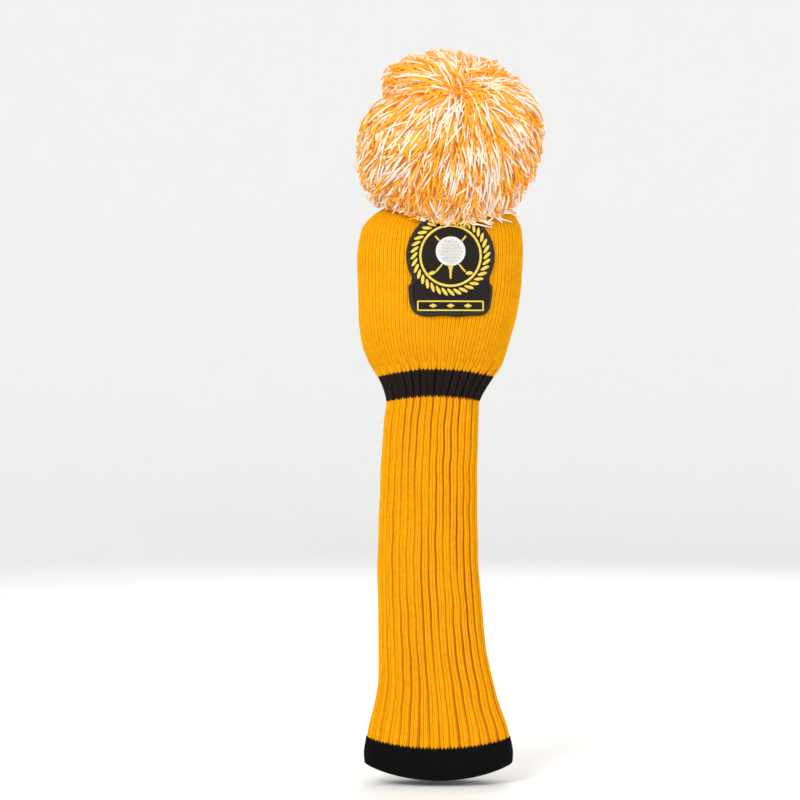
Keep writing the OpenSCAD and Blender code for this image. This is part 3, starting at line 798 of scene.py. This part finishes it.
def patch():
    twill_base()
    # each thread's first colour is painted shade, for where it dives into the twill
    gold = thread_material("gold_thread_floss", (0.30, 0.17, 0.02), (0.86, 0.66, 0.10), (1.0, 0.9, 0.5))
    white = thread_material("white_thread_floss", (0.45, 0.44, 0.42), (0.90, 0.89, 0.87), (1, 1, 1))
    grey = thread_material("grey_thread_floss", (0.12, 0.12, 0.12), (0.42, 0.42, 0.43), (0.7, 0.7, 0.7))

    angles = np.arange(0, 360, 360 / 340)
    ring = np.stack([polar(RING_AT - 0.85, angles), polar(RING_AT + 0.85, angles + 1.6)], 1)
    embroider("stitched_ring", ring, gold, 0.85, replaces=("patch_ring",))
    strands = [leaf(polar(ROPE_AT - 2.4, a - 5), polar(ROPE_AT + 2.4, a + 5), 2.7) for a in range(0, 360, 10)]
    rope = np.concatenate(strands)
    embroider("stitched_rope", rope, gold, 0.75, replaces=("patch_rope",))
    disc = fill(BALL_RADIUS) + BALL_AT
    embroider("stitched_ball", disc, white, 0.55, 0.35, replaces=("patch_ball",))
    rim = satin([BALL_AT + polar(BALL_RADIUS, a) for a in range(0, 360, 6)], [0.55], closed=True)
    embroider("stitched_ball_rim", rim, white, 0.8, 0.3, replaces=("patch_ball",))
    dimples = []
    for row in range(-3, 4):
        for column in range(-4, 5):
            at = BALL_AT + np.array(((column + 0.5 * (row % 2)) * 2.5, row * 2.2))
            if np.linalg.norm(at - BALL_AT) < BALL_RADIUS - 1.6:
                dimples.append((at - (0.55, 0.12), at + (0.55, -0.12)))
    dimples = np.array(dimples)
    embroider("stitched_dimples", dimples, grey, 0.5, 0.85, replaces=("patch_ball",))

    tee_top = BALL_AT - (0, BALL_RADIUS + 0.6)
    tee = satin([tee_top - (0, 9 * f) for f in (0, 0.18, 0.4, 0.7, 1)], [2.2, 1.2, 0.9, 0.75, 0.35], 0.0)
    embroider("stitched_tee", tee, gold, replaces=("patch_tee",))
    clubs = []
    for side in (-1, 1):
        grip, heel = np.array((side * 10.5, 13.5)), np.array((-side * 10.0, -11.0))
        line = (heel - grip) / np.linalg.norm(heel - grip)
        near = (BALL_AT - grip) @ line
        off_line = np.linalg.norm(BALL_AT - grip - line * near)
        clear = math.sqrt((BALL_RADIUS + 0.9) ** 2 - off_line ** 2)
        for a, b in ((grip, grip + line * (near - clear)), (grip + line * (near + clear), heel)):
            clubs.append(satin(np.linspace(a, b, 4), [0.6]))
        clubs.append(leaf(heel - (side * 0.4, 0.7), heel - (side * 5, 1.2), 3.1))
    embroider("stitched_clubs", np.concatenate(clubs), gold, replaces=("patch_clubs",))
    w, h = FOOT_HALF - 6, 3.1
    corner = [(-w, BAR_AT - h), (w, BAR_AT - h), (w, BAR_AT + h), (-w, BAR_AT + h)]
    bar = satin(corner, [0.5], closed=True)
    embroider("stitched_bar", bar, gold, 0.6, replaces=("patch_bar",))
    gems = [satin([(x + dx, BAR_AT) for dx in (-2.6, 0, 2.6)], [0.1, 1.7, 0.1], 0.0) for x in (-12, 0, 12)]
    gems = np.concatenate(gems)
    embroider("stitched_diamonds", gems, gold, 0.7, replaces=("patch_diamonds",))

    # the edge is overcast: each thread comes up inside the edge, goes over it and down its side
    fine = np.arange(0, 360, 0.25)
    edge = patch_edge(fine)
    outline = polar(edge, fine)
    run = np.concatenate([[0], np.cumsum(np.linalg.norm(np.diff(outline, axis=0), axis=1))])
    at = np.interp(np.arange(0, run[-1], 0.5), run, fine)
    inward = np.array((2.6, 2.2, 1.0, 0.05, -0.25, -0.1))
    height = TWILL_TOP + MM * np.array((-0.4, 0.25, 0.5, 0.0, -1.0, -1.7))
    skew = np.array((1.2, 1.0, 0.5, 0.1, 0.0, 0.0))
    radius = np.interp(at, fine, edge)[:, None] - inward
    p = front(polar(radius, at[:, None] + skew), np.broadcast_to(height, radius.shape))
    count = len(at)
    tone = np.random.default_rng(5).random(count)
    shaded, middle_black, light = (0.004, 0.003, 0.003), (0.016, 0.012, 0.010), (0.15, 0.13, 0.12)
    black = thread_material("black_thread_floss", shaded, middle_black, light, 0.65)
    piece = tubes(
        "stitched_edge", p, np.full(count, 0.62 * UNIT), tone, np.ones((count, 6)),
        np.broadcast_to((0.3, 1.0, 0.1), (count, 1, 3)),
    )
    dress(piece, black)
    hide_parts("patch_thread")
    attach(piece, "head")


# ---------------------------- the pompom
# Strands of cut yarn are bound at the ball's middle and combed away from a parting on its upper front. Each
# rises from inside the ball and leans over, away from the parting, to a tip on the ball's trimmed outline.
pom_low, pom_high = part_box("pom_yarn")
POM_RADIUS = (pom_high.x - pom_low.x) / 2
POM_TOP = 62 * MM  # from its middle to its top
POM_MIDDLE = np.array(((pom_low.x + pom_high.x) / 2, (pom_low.y + pom_high.y) / 2, pom_high.z - POM_TOP))
PARTING = np.array((0.13, -0.86, 0.50))
PARTING /= np.linalg.norm(PARTING)
STRANDS = 6900
STRAND_RINGS = 7
CORE = 0.66  # where the strands' shown lengths start, as a share of the radius
UNDERCOAT = 0.80  # the yarn packed close beneath the tips, as a share of the outline
ROCK = math.sin(math.radians(12))  # how far the pompom rocks
CROWN_ROOM = 2.5 * MM  # between the crown and the core's underside, which slopes up by ROCK to clear it
PATCH_ROOM, KNIT_ROOM = 4.2 * MM, 1.7 * MM  # how far strands stay off the head's outline
SKIRT = 14 * MM  # strands that end this near the head lie on it, and stay there when the pompom rocks


def bump(angle, middle, width):
    """A smooth lobe in degrees, that wraps round the circle."""
    off = (angle - middle + 180) % 360 - 180
    return np.exp(-((off / width) ** 2))


def pom_reach(d):
    """How far the trimmed outline is from the ball's middle in a direction. Lobes seen from the front: worn
    flatter on top, a notch high on the left, and fuller low on the left."""
    angle = np.degrees(np.arctan2(d[:, 2], d[:, 0])) % 360
    side = d[:, 0] ** 2 + d[:, 2] ** 2
    notch = np.exp(-(((angle - 156) / 13) ** 4))
    lobes = -4.8 * bump(angle, 78, 40) - 13.5 * notch + 2 * bump(angle, 13, 16)
    lobes += 6.0 * bump(angle, 212, 20) + 1.5 * bump(angle, 130, 10)
    return POM_RADIUS + MM * (side * lobes - 1.3)


def head_field(p):
    """Below 1 inside the head, and above 1 outside it."""
    above = np.append(HEIGHT, HEIGHT[-1] + np.array((2, 60)) * MM)
    a, b, c = (
        np.interp(p[..., 2], above, np.append(t, (t[-1] * last, t[-1] * last / 4)))
        for t, last in ((HALF_W, 0.6), (HALF_D, 0.6), (CENTRE, 1.0))
    )
    c = np.where(p[..., 2] > HEIGHT[-1], CENTRE[-1], c)
    return ((np.abs(p[..., 0] - c) / a) ** ROUND + (np.abs(p[..., 1]) / b) ** ROUND) ** (1 / ROUND)


def head_gap(p):
    """About how far points are outside the head, and which way is out."""
    f, e = head_field(p), 0.4 * MM
    slope = np.stack([head_field(p + e * way) - head_field(p - e * way) for way in np.eye(3)], -1)
    slope /= 2 * e
    size = np.linalg.norm(slope, axis=-1)
    return (f - 1) / size, slope / size[..., None]


def off_the_head(p):
    """Points pushed out of the head's knit and off the patch."""
    for _ in range(6):
        gap, out = head_gap(p)
        beside, above = np.abs(p[..., 0] - PATCH[0]), p[..., 2] - PATCH[1]
        over_patch = (beside < 31 * MM) & (above < 33 * MM) & (p[..., 1] < 0)
        room = np.where(over_patch, PATCH_ROOM, KNIT_ROOM)
        p = p + out * np.clip(room - gap, 0, 5 * MM)[..., None]
    return p


def strand_paths(rng):
    k = np.arange(STRANDS) + 0.5
    z = 1 - 2 * k / STRANDS
    turn = np.pi * (1 + 5 ** 0.5) * k
    tip = unit(np.stack([np.sqrt(1 - z * z) * np.cos(turn), np.sqrt(1 - z * z) * np.sin(turn), z], 1))
    tip = unit(tip + rng.normal(0, 0.022, tip.shape))
    away = np.degrees(np.arccos(np.clip(tip @ PARTING, -1, 1)))
    # no tip ends in the parting itself
    outward = unit(tip - (tip @ PARTING)[:, None] * PARTING)
    away = np.where(away < 60, 13 + away * (60 - 13) / 60, away)
    lean = 8 + 17 * np.clip((115 - away) / 60, 0, 1) * np.clip(away / 22, 0, 1)
    lean *= rng.uniform(0.45, 1.5, STRANDS)
    root_away = np.maximum(away - lean, rng.uniform(2, 12, STRANDS))

    def toward(angle):
        a = np.radians(angle)[:, None]
        return np.cos(a) * PARTING + np.sin(a) * outward

    tip, root = toward(away), toward(root_away)
    locks = [waves(seed, 16, 0.60, 0.18) for seed in (41, 42, 43)]  # strands lie in locks
    tip = unit(tip + 0.085 * np.stack([field(tip) for field in locks], 1))
    root = unit(root + rng.normal(0, 0.10, root.shape))
    short = MM * np.abs(rng.normal(0, 1.6, STRANDS))
    reach = pom_reach(tip) - short * (1 + 2.0 * (rng.random(STRANDS) < 0.25))
    start = POM_RADIUS * rng.uniform(CORE - 0.05, CORE + 0.06, STRANDS)
    s = np.linspace(0, 1, STRAND_RINGS)[None, :, None]
    sweep = s ** 1.45
    d = unit(root[:, None] * (1 - sweep) + tip[:, None] * sweep)
    rise = 1 - (1 - s) ** 2.1
    radius = start[:, None, None] + (reach - start)[:, None, None] * rise
    p = POM_MIDDLE + d * radius
    size = rng.normal(0, 1, (2, STRANDS, 1, 3))
    size *= rng.choice((0.7, 1.0, 1.7), STRANDS, p=(0.5, 0.35, 0.15))[:, None, None]
    p = p + MM * (0.9 * size[0] * s ** 1.6 + 0.45 * size[1] * np.sin(2 * np.pi * s))
    p[..., 2] -= 2.2 * MM * s[..., 0] ** 2 * np.clip(1 - d[..., 2], 0, 1)
    return p, tip


def pom_material(name, shaded, middle, light):
    """Twisted yarn: two plies that wind round each strand, with painted shade and a painted glow down in the
    ball.
    """
    n = Nodes(name)
    depth = n.attribute("depth")
    # painted shade and painted bounce: the colour runs from the shaded colour down in the ball to the yarn's
    # own colour at the tips
    body = n.ramp(depth, shaded, middle, 0.0, 0.85)
    body = n.shade(body, n.attribute("tone"), (0.92, 0.90, 0.86), 1.03)
    split = n.add("SeparateXYZ")
    n.link(n.add("UVMap", uv_map="yarn").outputs["UV"], split.inputs["Vector"])
    along = n.math("MULTIPLY", split.outputs["Y"], 0.42)
    turns = n.math("ADD", n.math("MULTIPLY", split.outputs["X"], 2.0), along)
    ply = n.math("ABSOLUTE", n.math("SINE", n.math("MULTIPLY", turns, math.pi), 0.0), 0.0)
    # painted shade: the grooves between the plies are darker and warmer
    body = n.shade(body, ply, (0.88, 0.82, 0.76), 1.02, 0.75, 0.0, 0.55)
    fibres = n.noise(3600.0, 2.0)
    body = n.shade(body, fibres, 0.9, 1.06, 0.7, 0.3, 0.7)
    height = n.math("ADD", n.math("MULTIPLY", ply, 0.8), n.math("MULTIPLY", fibres, 0.5))
    # painted glow: an emission that stands in for light that soaks through the yarn, down between the strands
    glow = n.ramp(depth, (0.20, 0.078, 0.008), (0.045, 0.022, 0.006), 0.1, 1.0)
    n.link(glow, n.shader.inputs["Emission Color"])
    n.shader.inputs["Emission Strength"].default_value = 1.0
    return n.finish(body, height, 0.6, 0.3 * MM, 0.85, 0.2, light, 0.2)


def pompom():
    rng = np.random.default_rng(7)
    p, tip = strand_paths(rng)
    p = off_the_head(p)
    length = np.linalg.norm(np.diff(p, axis=1), axis=-1).sum(1)
    gap, _ = head_gap(p[:, -1])
    inner = np.linalg.norm(p[:, -1] - POM_MIDDLE, axis=1)
    keep = (length > 9 * MM) & (inner > 0.72 * POM_RADIUS)
    patch_of = waves(51, 18, 0.50, 0.10)
    mottle = 0.6 * patch_of(tip) + rng.normal(0, 0.45, STRANDS)
    white = mottle > np.median(mottle)
    skirt = gap < SKIRT
    width = MM * rng.normal(1.34, 0.11, STRANDS)
    # painted shade: depth falls towards the core, where the strands take the shaded colour
    depth = np.clip((np.linalg.norm(p - POM_MIDDLE, axis=-1) / POM_RADIUS - CORE - 0.08) / 0.30, 0, 1)
    tone = rng.random(STRANDS)
    # painted shade and painted bounce: each yarn's first colour is for its strands down in the ball; the
    # white yarn's is peach, an orange bounce from the orange strands
    orange = pom_material("pompom_orange_yarn", (0.95, 0.33, 0.015), (1.0, 0.47, 0.035), (1.0, 0.7, 0.3))
    pale = pom_material("pompom_white_yarn", (1.0, 0.58, 0.22), (1.0, 0.88, 0.77), (1.0, 0.95, 0.9))
    for colour, material in (("orange", orange), ("white", pale)):
        for part, chosen in (("ball", ~skirt), ("skirt", skirt)):
            pick = keep & chosen & (white if colour == "white" else ~white)
            lie = np.cross(p[pick, :1] - POM_MIDDLE, p[pick, -1:] - POM_MIDDLE) + 1e-9
            piece = tubes(f"pompom_{part}_{colour}", p[pick], width[pick], tone[pick], depth[pick], unit(lie))
            dress(piece, material)
            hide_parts("pom_yarn")
            if part == "ball":
                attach(piece, "pompom")
            else:
                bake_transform(piece)
    d, faces = ball(64)
    lumps = waves(61, 40, 9 * MM, 3.5 * MM)
    co = POM_MIDDLE + d * (UNDERCOAT * pom_reach(d))[:, None]
    co = co + d * (1.3 * MM * lumps(co))[:, None]
    drop = ROCK * np.hypot(co[:, 0] - POM_MIDDLE[0], co[:, 1] - POM_MIDDLE[1])
    crown = HEIGHT[-1] + CROWN_ROOM
    co[:, 2] = np.maximum(co[:, 2], crown + drop)
    even = np.ones(len(co))
    # painted shade: the core's low depth gives it nearly the shaded colour
    core = make_mesh("pompom_core", co, faces, depth=0.15 * even, tone=0.5 * even)
    dress(core, orange)
    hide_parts("pom_yarn")
    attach(core, "pompom")


def ball(rings):
    """Directions and faces of a closed ball made of rings of quads, with a small flat at each pole."""
    tilt = np.linspace(0.03, np.pi - 0.03, rings)[:, None]
    around = np.linspace(0, 2 * np.pi, 2 * rings, endpoint=False)
    ring = [np.sin(tilt) * np.cos(around), np.sin(tilt) * np.sin(around), np.cos(tilt) * np.ones(2 * rings)]
    return np.stack(ring, -1).reshape(-1, 3), grid_faces(rings, 2 * rings)[:, ::-1]


# ---------------------------- inside, and the small cords
def lining():
    """The fleece inside the head: the CAD liner's shape with a napped face."""
    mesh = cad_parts["head_lining"].data.copy()
    shape = bmesh.new()
    shape.from_mesh(mesh)
    bmesh.ops.subdivide_edges(shape, edges=shape.edges, cuts=2, use_grid_fill=True)
    nap, tuft = waves(81, 30, 4 * MM, 1.6 * MM), waves(82, 16, 14 * MM, 6 * MM)
    shape.normal_update()
    for vert in shape.verts:
        at = np.array(vert.co)
        vert.co += vert.normal * float(0.10 * MM * nap(at) + 0.10 * MM * tuft(at))
    shape.to_mesh(mesh)
    shape.free()
    mesh.polygons.foreach_set("use_smooth", np.ones(len(mesh.polygons), bool))
    piece = bpy.data.objects.new("fleece_lining", mesh)
    bpy.context.scene.collection.objects.link(piece)
    low, high = (0.56, 0.52, 0.46), (0.72, 0.68, 0.62)
    fleece = cloth_material("lining_fleece_nap", low, high, 1500.0, 0.7, 0.95, 0.5, 0.1)
    dress(piece, fleece)
    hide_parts("head_lining")
    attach(piece, "head")


def cord_materials():
    """The small sewn and tied cords keep their CAD shapes."""
    white = cloth_material("white_cord", (0.75, 0.72, 0.66), (0.92, 0.90, 0.86), 2400.0, 0.6, 0.85)
    orange = cloth_material("orange_cord", (0.55, 0.19, 0.003), (0.80, 0.30, 0.006), 2400.0, 0.6, 0.85)
    black = cloth_material("black_cord", (0.006, 0.005, 0.005), (0.022, 0.020, 0.020), 2400.0, 0.6, 0.8)
    low, high = (0.74, 0.73, 0.68), (0.90, 0.89, 0.84)
    elastic = cloth_material("woven_elastic", low, high, 1800.0, 0.6, 0.6, 0.1, 0.4)
    for node, material in (
        ("pom_tie", white), ("pom_tie_knot", white), ("pom_binding", white), ("gather_yarn", orange),
        ("lining_seam", white), ("hem_seam", black), ("neck_elastic", elastic),
    ):
        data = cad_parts[node].data
        data.materials.clear()
        data.materials.append(material)


stage()
lights()
knitted_body()
hem()
lining()
cord_materials()
patch()
pompom()

(lo, hi), (cad_lo, cad_hi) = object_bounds(), cad_box
{"cad": [list(cad_lo), list(cad_hi)], "visual": [list(lo), list(hi)]}
